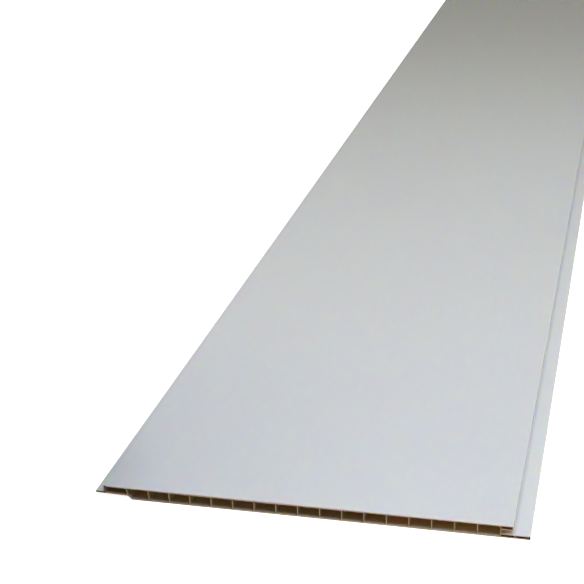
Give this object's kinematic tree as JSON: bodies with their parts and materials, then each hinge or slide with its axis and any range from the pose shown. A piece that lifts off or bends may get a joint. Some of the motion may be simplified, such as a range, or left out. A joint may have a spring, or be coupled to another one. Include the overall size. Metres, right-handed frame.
{
  "type": "pvc ceiling panel",
  "caption": "Hollow white PVC ceiling panel, extruded with upright webs, a tongue along one edge, and a lip over a fixing flange along the other.",
  "frame": {"origin": "middle of the underside, half way across the whole width and half way along", "axes": "+Z out of the decorative face, +Y along the length, +X from the tongue to the flange"},
  "size_m": [0.2652, 2.7, 0.008],
  "materials": {
    "white_pvc": "gloss"
  },
  "bodies": {
    "root": {"panel": "white_pvc"}
  },
  "joints": []
}
